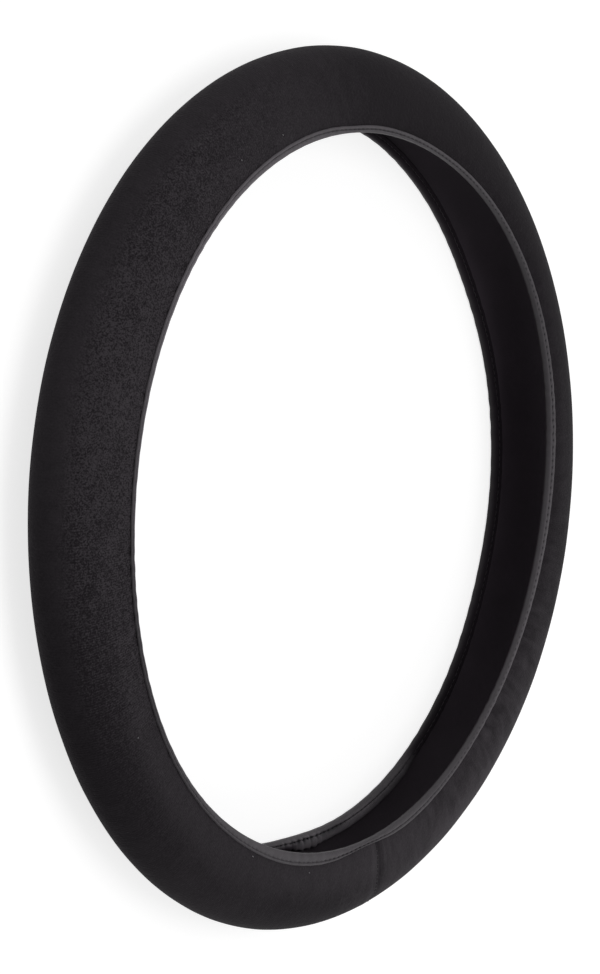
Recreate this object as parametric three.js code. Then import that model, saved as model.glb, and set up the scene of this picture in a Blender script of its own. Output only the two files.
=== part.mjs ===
// Steering wheel cover: a soft ring with a C-shaped section that opens towards its middle.
// Millimetres, +Z up. The ring lies flat, its axis on Z and its lower face on z = 0.
import * as THREE from 'three';

// Driving sizes
const outer_diameter = 380;
const cover_width = 35;
const section_depth = 35;
const wall_width = 7.5;
const fabric_thickness = 1.0;
const rubber_wall = 1.6;
const tape_thickness = 0.9;
const bead_thickness = 0.5;
const nose_radius = 1.5;
const binding_reach = 4.0;
const stitch_inset = 2.75;
const stitch_groove_width = 0.7;
const thread_diameter = 0.35;
const seam_gap = 0.3;
const seam_valley_width = 3.2;
const seam_valley_depth = 0.5;

// Clearances
const layer_gap = 0.3;
const edge_clearance = 0.5;
const thread_gap = 0.1;
const thread_cover = 0.05;

// Fineness of the facets
const ring_steps = 60;
const crown_steps = 12;
const nose_steps = 2;
const thread_sides = 5;
const seam_thread_steps = 26;

// Sizes that follow
const outer_radius = outer_diameter / 2;
const mouth_radius = outer_radius - section_depth;
const half_width = cover_width / 2;
const crown_start = mouth_radius + wall_width;
const crown_depth = section_depth - wall_width;
const layer_edge_radius = mouth_radius + tape_thickness + edge_clearance;
const tape_end_radius = mouth_radius + binding_reach;
const stitch_radius = mouth_radius + stitch_inset;
const thread_radius = thread_diameter / 2;
const groove_depth = thread_diameter + thread_gap + thread_cover;
const rubber_offset = fabric_thickness + layer_gap;
const rubber_inner_offset = rubber_offset + rubber_wall;
const tape_outside = half_width + layer_gap + tape_thickness;
const tape_outer_leg = half_width + layer_gap;
const tape_inner_leg = half_width - rubber_inner_offset - layer_gap;
const tape_inside = tape_inner_leg - tape_thickness;
const seam_angle = -Math.PI / 2;

// Colours and finishes
const velour = new THREE.MeshStandardMaterial({ color: 0x242225, roughness: 0.95, metalness: 0 });
const rubber = new THREE.MeshStandardMaterial({ color: 0x131314, roughness: 0.8, metalness: 0 });
const binding_tape = new THREE.MeshStandardMaterial({ color: 0x3a383b, roughness: 0.7, metalness: 0 });
const thread = new THREE.MeshStandardMaterial({ color: 0x1c1b1d, roughness: 0.6, metalness: 0 });

function named(name, geometry, material) {
  const mesh = new THREE.Mesh(geometry, material);
  mesh.name = name;
  return mesh;
}

// Section of the cover: x is the radius and y the height over the middle plane.
// The crown is half an ellipse; from its ends two flat walls run in to the mouth.
function crownPoint(turn, offset) {
  const point = new THREE.Vector2(
    crown_start + crown_depth * Math.cos(turn),
    half_width * Math.sin(turn),
  );
  const normal = new THREE.Vector2(half_width * Math.cos(turn), crown_depth * Math.sin(turn));
  return point.addScaledVector(normal.normalize(), -offset);
}

// One face of a layer, from the edge at the front mouth round the crown to the rear one
function layerFace(offset, end_radius) {
  const points = [new THREE.Vector2(end_radius, half_width - offset)];
  for (let step = 0; step <= crown_steps; step += 1) {
    const turn = Math.PI * (0.5 - step / crown_steps);
    points.push(crownPoint(turn, offset));
  }
  points.push(new THREE.Vector2(end_radius, offset - half_width));
  return points;
}

function layerSection(outer_offset, inner_offset) {
  const outside = layerFace(outer_offset, layer_edge_radius);
  const inside = layerFace(inner_offset, layer_edge_radius).reverse();
  return [...outside, ...inside];
}

function arcPoints(centre_x, centre_y, radius, from, to, steps) {
  const points = [];
  for (let step = 0; step <= steps; step += 1) {
    const turn = from + ((to - from) * step) / steps;
    const across = radius * Math.cos(turn);
    const along = radius * Math.sin(turn);
    points.push(new THREE.Vector2(centre_x + across, centre_y + along));
  }
  return points;
}

// A stitch groove in a face of the tape that looks towards side (+1 up, -1 down).
// near_height is the face on the nose's side of the groove and far_height that beyond it.
function groovePoints(near_height, far_height, side) {
  const near = stitch_radius - stitch_groove_width / 2;
  const far = stitch_radius + stitch_groove_width / 2;
  const floor_height = near_height - side * groove_depth;
  return [
    new THREE.Vector2(near, near_height),
    new THREE.Vector2(near, floor_height),
    new THREE.Vector2(far, floor_height),
    new THREE.Vector2(far, far_height),
  ];
}

// Tape folded over the edges of the fabric and the rubber: two legs and a round nose
function bindingSection() {
  const nose = Math.min(nose_radius, (tape_outside - tape_inside) / 2);
  const fold = Math.max(nose - tape_thickness, 0.1);
  const nose_centre = mouth_radius + nose;
  const fold_centre = mouth_radius + tape_thickness + fold;
  const half_turn = Math.PI;
  const bead_height = tape_outer_leg + bead_thickness;
  const bevel = bead_thickness / 2;
  return [
    new THREE.Vector2(tape_end_radius, tape_outer_leg),
    new THREE.Vector2(tape_end_radius, bead_height - bevel),
    new THREE.Vector2(tape_end_radius - bevel, bead_height),
    ...groovePoints(tape_outside, bead_height, 1).reverse(),
    ...arcPoints(nose_centre, tape_outside - nose, nose, half_turn / 2, half_turn, nose_steps),
    ...arcPoints(nose_centre, tape_inside + nose, nose, half_turn, half_turn * 1.5, nose_steps),
    ...groovePoints(tape_inside, tape_inside, -1),
    new THREE.Vector2(tape_end_radius, tape_inside),
    new THREE.Vector2(tape_end_radius, tape_inner_leg),
    ...arcPoints(fold_centre, tape_inner_leg + fold, fold, half_turn * 1.5, half_turn, 1),
    ...arcPoints(fold_centre, tape_outer_leg - fold, fold, half_turn, half_turn / 2, 1),
  ];
}

function threadSection(height) {
  const turn = 2 * Math.PI;
  return arcPoints(stitch_radius, height, thread_radius, 0, turn, thread_sides).slice(0, -1);
}

function mirrored(section) {
  return section.map((point) => new THREE.Vector2(point.x, -point.y)).reverse();
}

function counterClockwise(section) {
  return THREE.ShapeUtils.isClockWise(section) ? [...section].reverse() : section;
}

// Full ring: the section turned once round the axis, its first step at the cross seam
function ringGeometry(section) {
  const outline = counterClockwise(section);
  const geometry = new THREE.LatheGeometry([...outline, outline[0]], ring_steps);
  geometry.rotateX(Math.PI / 2);
  return geometry;
}

// Strip bent once round the axis, whose two ends meet at the cross seam and dip into a valley
function fabricGeometry() {
  const valley = [
    { arc: seam_gap / 2, drop: seam_valley_depth },
    { arc: seam_valley_width / 4, drop: seam_valley_depth / 3 },
    { arc: seam_valley_width / 2, drop: 0 },
  ];
  const places = valley.map(({ arc, drop }) => ({ angle: arc / outer_radius, drop }));
  for (let step = 1; step < ring_steps; step += 1) {
    places.push({ angle: (2 * Math.PI * step) / ring_steps, drop: 0 });
  }
  for (const { arc, drop } of [...valley].reverse()) {
    places.push({ angle: 2 * Math.PI - arc / outer_radius, drop });
  }
  const positions = [];
  for (const { angle, drop } of places) {
    const turn = seam_angle + angle;
    for (const point of counterClockwise(layerSection(drop, fabric_thickness))) {
      positions.push(point.x * Math.cos(turn), point.x * Math.sin(turn), point.y);
    }
  }
  const section = counterClockwise(layerSection(seam_valley_depth, fabric_thickness));
  const count = section.length;
  const indices = [];
  for (let place = 0; place < places.length - 1; place += 1) {
    for (let corner = 0; corner < count; corner += 1) {
      const here = place * count + corner;
      const beside = place * count + ((corner + 1) % count);
      indices.push(here, here + count, beside);
      indices.push(beside, here + count, beside + count);
    }
  }
  const last = (places.length - 1) * count;
  for (const [a, b, c] of THREE.ShapeUtils.triangulateShape(section, [])) {
    indices.push(a, b, c);
    indices.push(last + a, last + c, last + b);
  }
  const geometry = new THREE.BufferGeometry();
  geometry.setAttribute('position', new THREE.Float32BufferAttribute(positions, 3));
  geometry.setIndex(indices);
  geometry.computeVertexNormals();
  return geometry;
}

// Thread laid in the valley of the cross seam, from one binding round the crown to the other
function seamThreadGeometry() {
  const depth = seam_valley_depth - thread_gap - thread_radius;
  const end_radius = tape_end_radius + layer_gap + thread_radius;
  const route = layerFace(depth, end_radius).map(
    (point) => new THREE.Vector3(
      point.x * Math.cos(seam_angle),
      point.x * Math.sin(seam_angle),
      point.y,
    ),
  );
  const path = new THREE.CatmullRomCurve3(route);
  const round = new THREE.Shape(
    arcPoints(0, 0, thread_radius, 0, 2 * Math.PI, thread_sides).slice(0, -1),
  );
  return new THREE.ExtrudeGeometry(round, { steps: seam_thread_steps, extrudePath: path });
}

const fabric_cover = named('fabric_cover', fabricGeometry(), velour);
const rubber_ring = named(
  'rubber_ring',
  ringGeometry(layerSection(rubber_offset, rubber_inner_offset)),
  rubber,
);

// Each mouth edge has its tape and two threads, one in each groove
function mouthEdge(side_name, turned) {
  const place = (section) => ringGeometry(turned ? mirrored(section) : section);
  const seat = groove_depth - thread_gap - thread_radius;
  const outer_thread = threadSection(tape_outside - seat);
  const inner_thread = threadSection(tape_inside + seat);
  return [
    named(`${side_name}_binding`, place(bindingSection()), binding_tape),
    named(`${side_name}_needle_thread`, place(outer_thread), thread),
    named(`${side_name}_bobbin_thread`, place(inner_thread), thread),
  ];
}

const cross_seam_thread = named('cross_seam_thread', seamThreadGeometry(), thread);

const cover = new THREE.Group();
cover.add(fabric_cover, rubber_ring, cross_seam_thread);
cover.add(...mouthEdge('front', false), ...mouthEdge('rear', true));
cover.position.z = tape_outside;

export default cover;
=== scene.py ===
"""Steering wheel cover: the looks of a velour covered soft ring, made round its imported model."""

import math

import bpy
import numpy as np
from bpy.props import FloatProperty, FloatVectorProperty, IntProperty, PointerProperty
from mathutils import Matrix, Vector


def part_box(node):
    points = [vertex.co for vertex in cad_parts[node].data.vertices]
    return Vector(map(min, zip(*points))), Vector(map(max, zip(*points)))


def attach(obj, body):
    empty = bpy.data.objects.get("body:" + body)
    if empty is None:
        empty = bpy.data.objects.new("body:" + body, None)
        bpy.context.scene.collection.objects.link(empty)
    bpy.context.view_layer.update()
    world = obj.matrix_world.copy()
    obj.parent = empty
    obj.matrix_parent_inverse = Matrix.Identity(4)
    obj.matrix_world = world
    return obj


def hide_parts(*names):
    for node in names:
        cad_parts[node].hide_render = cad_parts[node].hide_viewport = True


bl_info = {
    "name": "Steering Wheel Cover",
    "version": (1, 0, 0),
    "blender": (4, 5, 0),
    "location": "View3D > Sidebar > Wheel Cover",
    "description": "Makes a velour steering wheel cover with taped and stitched edges",
    "category": "Add Mesh",
}

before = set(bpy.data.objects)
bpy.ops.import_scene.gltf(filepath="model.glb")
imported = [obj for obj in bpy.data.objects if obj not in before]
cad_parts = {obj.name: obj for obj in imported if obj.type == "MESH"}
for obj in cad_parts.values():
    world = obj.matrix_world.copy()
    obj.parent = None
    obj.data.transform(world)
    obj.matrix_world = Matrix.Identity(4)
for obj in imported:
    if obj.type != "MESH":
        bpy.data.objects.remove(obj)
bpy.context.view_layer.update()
BODY = "root"

MM = 0.001
SKIN_LOW, SKIN_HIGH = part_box("fabric_cover")
OUTER_RADIUS = SKIN_HIGH.x / MM
MIDDLE_HEIGHT = (SKIN_HIGH.z + SKIN_LOW.z) / 2 / MM
HALF_WIDTH = (SKIN_HIGH.z - SKIN_LOW.z) / 2 / MM
SEAM_TURN = math.radians(-90.5)
FULL_TURN = 2 * math.pi

# Directions in the tables below are counted from an X axis turned this far back, in degrees
VIEW_TURN = 2.3

# Waves of the soft ring, each as (waves in one turn, height in mm, direction of a crest in degrees)
RING_WAVES = ((1, 0.75, -37), (2, 0.85, -76), (3, 0.65, -7), (4, 0.5, -37))
FRONT_LIP_WAVES = ((1, 0.32, 19), (2, 2.13, 34), (3, 0.69, 21), (4, 0.91, 25), (6, 0.22, 29))
FRONT_LIP_LIFT = ((1, 0.65, 95),)
FRONT_TAPE_WAVES = ((1, 0.64, -50), (2, 0.54, 87), (3, 0.85, 4), (4, 0.48, -2))
BEAD_WAVES = ((1, 0.95, -5),)

# What is left of the form once its waves are taken off, in mm outwards
RING_STRETCH = 0.3
FRONT_LIP_STRETCH = -0.5
FRONT_TAPE_STRETCH = -0.54
BEAD_WIDTH = 1.6
REAR_LIP_STRETCH = 1.8
REAR_LIP_DROP = 0.3

# Where the lips leave those waves, each as (direction in degrees, width in degrees, mm outwards)
FRONT_TAPE_DENTS = ((-91.5, 7.5, -2.7), (-113, 8, 0.5), (88, 5, -0.6))
BEAD_DENTS = ((-91.5, 7.5, -0.8),)
REAR_LIP_BULGES = (
    (-96, 11, -1.9),
    (-67, 17, 1.5),
    (-46, 12, 0.4),
    (-27, 14, -1.2),
    (28, 14, -1.9),
    (70, 16, 2.6),
)

# How the stitched edge tape lies: radius and height over the middle plane, in mm
TAPE_SHOWING = (
    (159.0, 17.25),
    (158.75, 17.6),
    (158.4, 17.95),
    (157.95, 18.1),
    (157.5, 17.95),
    (157.15, 17.7),
    (156.85, 17.95),
    (156.4, 18.22),
    (155.8, 18.0),
    (155.3, 17.35),
    (155.1, 16.5),
    (155.15, 15.6),
    (155.45, 14.8),
    (156.0, 14.2),
    (156.6, 13.85),
    (157.05, 14.05),
    (157.5, 13.7),
    (158.2, 13.4),
    (158.9, 13.5),
    (159.2, 13.9),
)
TAPE_HIDDEN = ((158.8, 14.3), (157.0, 14.6), (156.2, 15.6), (156.3, 16.7), (157.0, 17.1))
NEEDLE_GROOVE = (157.15, 17.7)
BOBBIN_GROOVE = (157.05, 14.05)
TAPE_NOSE = 155.1
TAPE_REACH = 3.9
GROOVE_REACH = 2.05
LEAST_WIDTH = 0.45


def length_property(name, description, default):
    return FloatProperty(name=name, description=description, default=default, unit="LENGTH")


def angle_property(name, description, default):
    return FloatProperty(
        name=name, description=description, default=default, subtype="ANGLE", unit="ROTATION"
    )


def colour_property(name, description, default):
    return FloatVectorProperty(
        name=name, description=description, default=default, subtype="COLOR", min=0, max=1
    )


class CoverSizes(bpy.types.PropertyGroup):
    """Sizes of the cover that a user would change"""

    mouth_radius: length_property(
        "Mouth Radius", "Radius of the inner edge of the rolled tape", 155 * MM
    )
    crown_start: length_property(
        "Crown Start", "Radius at which the flat walls pass into the round crown", 162.5 * MM
    )
    skin_thickness: length_property(
        "Skin Thickness", "Thickness of the velour with its backing", 1.0 * MM
    )
    rubber_thickness: length_property(
        "Rubber Thickness", "Wall of the rubber ring inside the skin", 1.6 * MM
    )
    rubber_offset: length_property(
        "Rubber Offset", "Depth of the rubber's outer face under the skin's outer face", 1.3 * MM
    )
    stitch_count: IntProperty(
        name="Stitch Count",
        description="Stitches in one turn of the edge seam, about 3.2 mm long",
        default=310,
    )
    thread_diameter: length_property("Thread Diameter", "Diameter of the sewing thread", 0.3 * MM)
    seam_ridge: length_property(
        "Seam Ridge", "Height of the raised edge beside the cross seam", 0.3 * MM
    )
    seam_valley: length_property(
        "Seam Valley", "Depth of the valley on the other side of the cross seam", 0.35 * MM
    )
    seam_skew: angle_property(
        "Seam Skew",
        "How far the cross seam strays from a straight line at the crown",
        math.radians(1.8),
    )


class CoverColours(bpy.types.PropertyGroup):
    """Colours of the cover's materials"""

    # The velour's shade runs between these two colours; besides the pile's own mottling it holds
    # painted light and shade round the ring and across the seam
    velour_dark: colour_property(
        "Velour Dark", "Velour where the pile leans towards the eye", (0.0065, 0.0048, 0.0065)
    )
    velour_light: colour_property(
        "Velour Light", "Velour where the pile leans away", (0.0415, 0.0365, 0.0415)
    )
    tape: colour_property("Edge Tape", "Smooth tape round both mouth edges", (0.073, 0.067, 0.073))
    rubber: colour_property("Rubber", "Anti-slip ring inside", (0.031, 0.024, 0.031))
    thread: colour_property("Thread", "Sewing thread of all seams", (0.026, 0.022, 0.026))
    lint: colour_property("Lint", "Pale specks of lint on the velour", (0.42, 0.42, 0.43))


class CoverStage(bpy.types.PropertyGroup):
    """Camera, lamp and backdrop of the studio"""

    camera_distance: length_property(
        "Camera Distance", "Distance of the camera from the middle of the ring", 1.3938
    )
    camera_azimuth: angle_property(
        "Camera Azimuth", "Direction of the camera, counter-clockwise from +X", math.radians(164.27)
    )
    camera_elevation: angle_property(
        "Camera Elevation",
        "Height of the camera over the ring's middle plane, as an angle",
        math.radians(35.72),
    )
    camera_roll: angle_property(
        "Camera Roll", "Turn of the camera about its own axis", math.radians(-95.82)
    )
    lens: FloatProperty(
        name="Focal Length",
        description="Focal length on a sensor of 36 mm along the picture's long side",
        default=119.03,
        unit="CAMERA",
    )
    lamp_power: FloatProperty(
        name="Lamp Power",
        description="Power of which each large soft lamp has its share",
        default=14.0,
        unit="POWER",
    )
    sky_strength: FloatProperty(
        name="Sky Strength",
        description="Strength of the even light from all round",
        default=0.3,
    )


def sizes():
    return bpy.context.scene.cover_sizes


def colours():
    return bpy.context.scene.cover_colours


def studio():
    return bpy.context.scene.cover_stage


# Form of the ring


def smooth_step(value):
    value = np.clip(value, 0.0, 1.0)
    return value * value * (3 - 2 * value)


def rising(value, start, width):
    """0 up to a start, and 1 from a width beyond it."""
    return smooth_step((value - start) / width)


def hump(value, centre, width):
    """Bell curve with a height of 1 at its centre."""
    return np.exp(-(((value - centre) / width) ** 2))


def plateau(value, width):
    """Near 1 over most of a width to each side of 0, and 0 further out."""
    return np.exp(-((value / width) ** 4))


def turn_from(turn, direction):
    """Signed angle from a direction in degrees, in degrees."""
    away = np.degrees(turn) + VIEW_TURN - direction
    return (away + 180) % 360 - 180


def waves(turn, table):
    """Sum of cosine waves round the ring, in mm."""
    total = np.zeros_like(turn)
    for count, height, direction in table:
        total = total + height * np.cos(count * (turn + math.radians(VIEW_TURN - direction)))
    return total


def bulges(turn, table):
    """Sum of local swellings and dents round the ring, in mm."""
    total = np.zeros_like(turn)
    for direction, width, height in table:
        total = total + height * hump(turn_from(turn, direction), 0, width)
    return total


def lip_share(radius, mouth_radius):
    """0 at the crown's middle and 1 at the mouth."""
    return smooth_step((OUTER_RADIUS - radius) / (OUTER_RADIUS - mouth_radius))


LIP_PIVOT = (163.5, 16.0)
LIP_HINGE_END = 166.0
LIP_HINGE_WIDTH = 5.0
LIP_ROLL_MEAN = math.radians(2)
LIP_ROLL_SWING = math.radians(8)


def roll_front_lip(radius, height, turn):
    """Leans the front lip into the mouth on the +X side and a little out of it on the other."""
    share = smooth_step((LIP_HINGE_END - radius) / LIP_HINGE_WIDTH) * (height > 0)
    angle = (LIP_ROLL_MEAN + LIP_ROLL_SWING * np.cos(turn + math.radians(VIEW_TURN))) * share
    across = radius - LIP_PIVOT[0]
    along = height - LIP_PIVOT[1]
    rolled_radius = LIP_PIVOT[0] + across * np.cos(angle) - along * np.sin(angle)
    rolled_height = LIP_PIVOT[1] + across * np.sin(angle) + along * np.cos(angle)
    return rolled_radius, rolled_height


def settled(radius, height, turn):
    """The soft ring's unevenness: a plain ring's points in mm become points in metres."""
    radius, height = roll_front_lip(radius, height, turn)
    lip = lip_share(radius, sizes().mouth_radius / MM)
    front = height > 0
    ring_shift = RING_STRETCH + waves(turn, RING_WAVES)
    front_shift = FRONT_LIP_STRETCH + waves(turn, FRONT_LIP_WAVES)
    rear_shift = REAR_LIP_STRETCH + bulges(turn, REAR_LIP_BULGES)
    moved = radius + ring_shift + lip * np.where(front, front_shift, rear_shift)
    lift = np.where(front, waves(turn, FRONT_LIP_LIFT), -REAR_LIP_DROP)
    placed = [moved * np.cos(turn), moved * np.sin(turn), height + lip * lift + MIDDLE_HEIGHT]
    return np.stack(placed, axis=-1) * MM


def on_front_tape(radius, turn):
    """Where a point of the front tape's outer leg goes, as the tape's reach and bead change."""
    strayed = FRONT_TAPE_STRETCH + waves(turn, FRONT_TAPE_WAVES) + bulges(turn, FRONT_TAPE_DENTS)
    bead = BEAD_WIDTH + waves(turn, BEAD_WAVES) + bulges(turn, BEAD_DENTS)
    bead = np.maximum(bead, LEAST_WIDTH)
    band = np.maximum(TAPE_REACH + strayed - bead, LEAST_WIDTH)
    reach = radius - TAPE_NOSE
    on_band = reach * band / GROOVE_REACH
    on_bead = band + (reach - GROOVE_REACH) * bead / (TAPE_REACH - GROOVE_REACH)
    return TAPE_NOSE + np.where(reach < GROOVE_REACH, on_band, on_bead)


# Sections


def section_normals(points):
    """Outward unit normals of an open run of section points that goes clockwise."""
    along = np.gradient(points, axis=0)
    normal = np.stack([-along[:, 1], along[:, 0]], axis=-1)
    return normal / np.linalg.norm(normal, axis=1)[:, None]


def crown_point(turn, offset):
    """Point of the crown's half ellipse, moved inwards by an offset, in mm."""
    start = sizes().crown_start / MM
    reach = OUTER_RADIUS - start
    point = np.array([start + reach * math.cos(turn), HALF_WIDTH * math.sin(turn)])
    normal = np.array([HALF_WIDTH * math.cos(turn), reach * math.sin(turn)])
    return point - offset * normal / np.linalg.norm(normal)


def layer_face(offset, end_radius, wall_steps, crown_steps, edge_drop):
    """One face of a layer from the front mouth round the crown to the rear mouth."""
    start = sizes().crown_start / MM
    wall = []
    for step in range(wall_steps):
        radius = end_radius + (start - end_radius) * step / wall_steps
        near_edge = 1 - smooth_step((radius - end_radius) / (start - end_radius))
        wall.append((radius, HALF_WIDTH - offset - edge_drop * near_edge))
    crown = [
        crown_point(math.pi * (0.5 - step / crown_steps), offset)
        for step in range(crown_steps + 1)
    ]
    mirrored = [(radius, -height) for radius, height in reversed(wall)]
    return np.array([*wall, *crown, *mirrored])


def smooth_run(points, steps):
    """A smooth curve through an open run of points, with so many steps between two of them."""
    points = np.array(points, float)
    padded = np.vstack([2 * points[0] - points[1], points, 2 * points[-1] - points[-2]])
    made = []
    for place in range(len(points) - 1):
        a, b, c, d = padded[place : place + 4]
        for step in range(steps):
            t = step / steps
            made.append(
                0.5
                * (
                    2 * b
                    + (c - a) * t
                    + (2 * a - 5 * b + 4 * c - d) * t**2
                    + (3 * b - a - 3 * c + d) * t**3
                )
            )
    made.append(points[-1])
    return np.array(made)


# Meshes


def link_piece(name, points, faces, finish, replaced):
    """A smooth mesh of quads on the part's body, which stands for the solids it replaces."""
    points = np.asarray(points, np.float32).reshape(-1, 3)
    mesh = bpy.data.meshes.new(name)
    mesh.from_pydata([], [], [])
    mesh.vertices.add(len(points))
    mesh.vertices.foreach_set("co", points.ravel())
    faces = np.asarray(faces, np.int32)
    mesh.loops.add(faces.size)
    mesh.loops.foreach_set("vertex_index", faces.ravel())
    mesh.polygons.add(len(faces))
    mesh.polygons.foreach_set("loop_start", np.arange(0, faces.size, 4, dtype=np.int32))
    mesh.update(calc_edges=True)
    mesh.validate()
    mesh.polygons.foreach_set("use_smooth", np.ones(len(mesh.polygons), bool))
    mesh.materials.append(finish)
    piece = bpy.data.objects.new(name, mesh)
    bpy.context.scene.collection.objects.link(piece)
    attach(piece, BODY)
    if replaced:
        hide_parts(*replaced)
    return piece


def loop_faces(rings, count, joined):
    """Quads of a closed section of count points swept along rings, joined end to end or not."""
    ring = np.arange(rings if joined else rings - 1)
    here = ring[:, None] * count + np.arange(count)[None, :]
    beside = ring[:, None] * count + (np.arange(count)[None, :] + 1) % count
    ahead = ((ring + 1) % rings)[:, None] * count
    here_ahead = ahead + np.arange(count)[None, :]
    beside_ahead = ahead + (np.arange(count)[None, :] + 1) % count
    return np.stack([here, here_ahead, beside_ahead, beside], axis=-1).reshape(-1, 4)


def end_faces(start, outer_count, count, flip):
    """Quads that close a strip's end, between its outer and inner run of points."""
    quads = []
    for place in range(outer_count - 1):
        a, b = start + place, start + place + 1
        c, d = start + count - 2 - place, start + count - 1 - place
        quads.append((a, d, c, b) if flip else (a, b, c, d))
    return np.array(quads)


def add_attribute(piece, name, values):
    attribute = piece.data.attributes.new(name, "FLOAT", "POINT")
    attribute.data.foreach_set("value", np.asarray(values, np.float32).ravel())


# Velour skin


SKIN_STEP = math.radians(0.6)
SEAM_STEP = math.radians(0.1)
SEAM_ZONE = math.radians(8)
SEAM_GAP = 0.25
SEAM_SKEW_ZONE = math.radians(25)
SKIN_END_RADIUS = 156.7
SKIN_EDGE_DROP = 0.45
SKIN_WALL_STEPS = 10
SKIN_CROWN_STEPS = 44

# Lengths beside the cross seam are measured at this radius, and across the strip over this width
SEAM_RADIUS = OUTER_RADIUS - 4
STRIP_WIDTH = 84.0

# Places and widths of the seam's relief and of its painted light and shade, in mm from the seam
RIDGE_PLACE, RIDGE_WIDTH = -4.2, 2.1
VALLEY_PLACE, VALLEY_WIDTH = 1.6, 1.5
STITCHED_DEPTH, STITCHED_WIDTH = 0.12, 0.8
SEAM_LIGHT, SEAM_LIGHT_WIDTH = 0.24, 2.3
SEAM_DARK, SEAM_DARK_WIDTH = 0.4, 1.6

# Painted shade, partly crushed pile, in a spot beside the front lip at the top of the seam's
# valley: mm from the seam and share of the section, with widths
SEAM_TOP_SHADE = 0.3
SEAM_TOP_ACROSS = (4.4, 1.8)
SEAM_TOP_ALONG = (0.17, 0.08)

# How much of the relief, shade and grain is lost away from the lips
CROWN_FLATTENING = 0.75
SEAM_SHADE_LOSS = 0.5
GRAIN_LOSS = 0.85

# Where these losses and the crown's nap and painted light begin: share of the section from the
# nearer lip, and width
SEAM_RELIEF_FADE = (0.12, 0.3)
SEAM_SHADE_FADE = (0.2, 0.25)
CROWN_NAP_AND_LIGHT_RISE = (0.1, 0.2)
GRAIN_FADE = (0.3, 0.13)

# Fine rows at the upper left, in degrees
RIBS_DIRECTION = 188
RIBS_WIDTH = 22

# Where the pile is stroked into patches and where streaks cross the strip, each as (direction and
# width in degrees, least amount, amount added there)
BRUSHED = (158, 46, 0.15, 0.85)
STREAKED = (-52, 34, 0.3, 1.2)

# Ripples of the soft layers, each as (number of waves, least and most crests in one turn, height
# in mm, seed). Those of the lips reach over a share of the section and are strongest where the
# pile is stroked
LIP_RIPPLE = (14, (70, 150), 0.09, 4)
BROAD_RIPPLE = (12, (12, 40), 0.02, 7)
FRONT_TAPE_RIPPLE = (10, (60, 160), 0.05, 11)
REAR_TAPE_RIPPLE = (10, (60, 160), 0.05, 12)
RIPPLE_SLANT = 5
LIP_ZONE = 0.09
LIP_RIPPLE_LEAST = 0.3

# How the lay of the stroked pile, together with painted light and shade, lightens and darkens the
# skin:
# over the whole strip, more on the crown, and more on the shoulders between wall and crown, each as
# (direction in degrees, width in degrees, amount)
NAP_AND_LIGHT_STRIP = (
    (40, 50, -0.42),
    (75, 16, -0.34),
    (-21, 16, -0.18),
    (-86, 16, 0.2),
    (158, 16, 0.17),
    (-125, 25, -0.08),
)
NAP_AND_LIGHT_CROWN = (
    (-101, 17, -0.58),
    (-58, 16, 0.6),
    (20, 44, -0.48),
    (55, 18, -0.26),
    (-150, 26, -0.42),
)
NAP_AND_LIGHT_SHOULDER = ((33, 36, -0.3),)

# Middle and width of a shoulder and of the creased zone, as shares of the section from the lip
SHOULDER = (0.165, 0.06)
CREASE_ZONE = (0.08, 0.07)

# Creases that run out from the front tape beside the seam: mm from it, height and width in mm
SEAM_CREASES = ((5.2, 0.22, 1.2), (9.8, 0.2, 1.5), (14.5, 0.12, 2.0), (-6.0, 0.1, 2.2))

# Dip of the walls along the edge of each tape: depth, place beyond the edge with width, and least
# height over the middle plane, in mm
TAPE_TROUGH = 0.06
TROUGH_PLACE = (0.3, 0.55)
TROUGH_LEAST_HEIGHT = 15


def skin_turns():
    """Angles of the skin's rings, from one side of the seam round to the other."""
    gap = SEAM_GAP / 2 / OUTER_RADIUS
    near = np.arange(gap, SEAM_ZONE, SEAM_STEP)
    far = np.arange(SEAM_ZONE, FULL_TURN - SEAM_ZONE, SKIN_STEP)
    return np.concatenate([near, far, FULL_TURN - near[::-1]])


def from_lip(share):
    """Share of the section between a place and the nearer lip."""
    return np.minimum(share, 1 - share)


def seam_profile(distance, share):
    """Height of the skin across the seam: a raised edge, then a valley, in mm."""
    ridge = sizes().seam_ridge / MM * hump(distance, RIDGE_PLACE, RIDGE_WIDTH)
    valley = sizes().seam_valley / MM * hump(distance, VALLEY_PLACE, VALLEY_WIDTH)
    stitched = STITCHED_DEPTH * hump(distance, 0, STITCHED_WIDTH)
    flatter = 1 - CROWN_FLATTENING * rising(from_lip(share), *SEAM_RELIEF_FADE)
    return (ridge - valley - stitched) * flatter


def seam_shade(distance, share):
    """Painted light on the raised edge and painted shade in the valley across the seam, partly from
    crushed pile.
    """
    fade = 1 - SEAM_SHADE_LOSS * rising(from_lip(share), *SEAM_SHADE_FADE)
    light = SEAM_LIGHT * hump(distance, RIDGE_PLACE, SEAM_LIGHT_WIDTH)
    dark = SEAM_DARK * hump(distance, VALLEY_PLACE, SEAM_DARK_WIDTH)
    top_shade = SEAM_TOP_SHADE * hump(distance, *SEAM_TOP_ACROSS) * hump(share, *SEAM_TOP_ALONG)
    return (light - dark) * fade - top_shade


def ripple(turn, along, waves_wanted, count_range, height, seed):
    """Soft unevenness made of a few crossing waves, in mm."""
    random = np.random.default_rng(seed)
    total = np.zeros_like(turn)
    for _ in range(waves_wanted):
        count = random.integers(*count_range)
        slant = random.uniform(-RIPPLE_SLANT, RIPPLE_SLANT)
        start = random.uniform(0, FULL_TURN)
        total = total + np.cos(count * turn + slant * along + start)
    return total * height / math.sqrt(waves_wanted / 2)


def brushed_amount(turn):
    """How strongly the pile is stroked into patches, 0 to 1, at each angle of the ring."""
    direction, width, least, added = BRUSHED
    return least + added * plateau(turn_from(turn, direction), width)


def streaked_amount(turn):
    """How strongly soft streaks run across the strip, at each angle of the ring."""
    direction, width, least, added = STREAKED
    return least + added * hump(turn_from(turn, direction), 0, width)


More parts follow.
